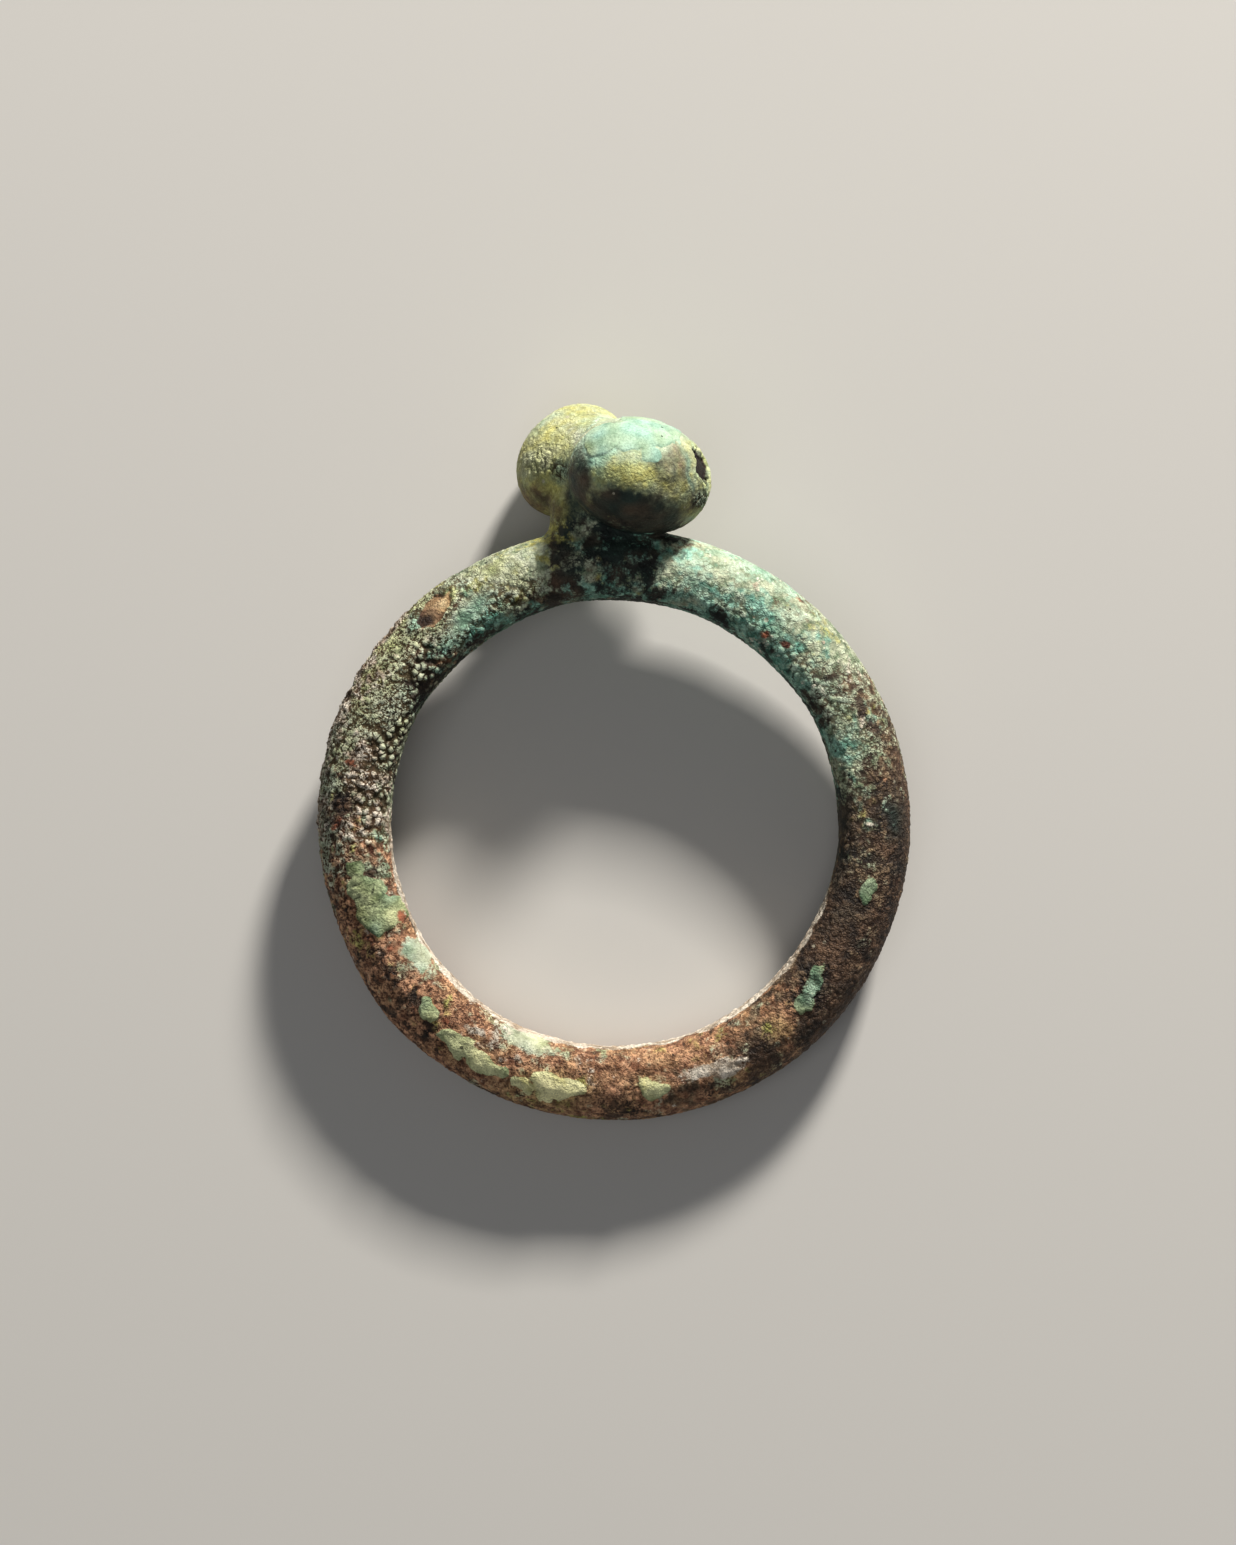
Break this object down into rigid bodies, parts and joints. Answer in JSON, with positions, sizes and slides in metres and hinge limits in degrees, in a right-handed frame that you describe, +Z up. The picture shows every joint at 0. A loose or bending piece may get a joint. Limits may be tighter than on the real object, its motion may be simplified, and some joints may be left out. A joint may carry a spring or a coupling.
{
  "type": "amulet ring",
  "caption": "Cast bronze finger ring: a plain round hoop with a bezel of joined globes set obliquely across it on a short neck, under a rough green and brown patina.",
  "frame": {"origin": "middle of the footprint of the ring as it lies on its back, at the level of the surface that it lies on", "axes": "+Z up from that surface and nearly out of the ring's front; +Y from the far end of the hoop towards the bezel; +X to the right of someone who looks at the front with the bezel at the top"},
  "size_m": [0.028, 0.034, 0.0094],
  "materials": {
    "patinated_bronze": "cast tin bronze under a rough, matt crust of green, turquoise and brown corrosion"
  },
  "bodies": {
    "root": {"amulet_ring": "patinated_bronze"}
  },
  "joints": []
}
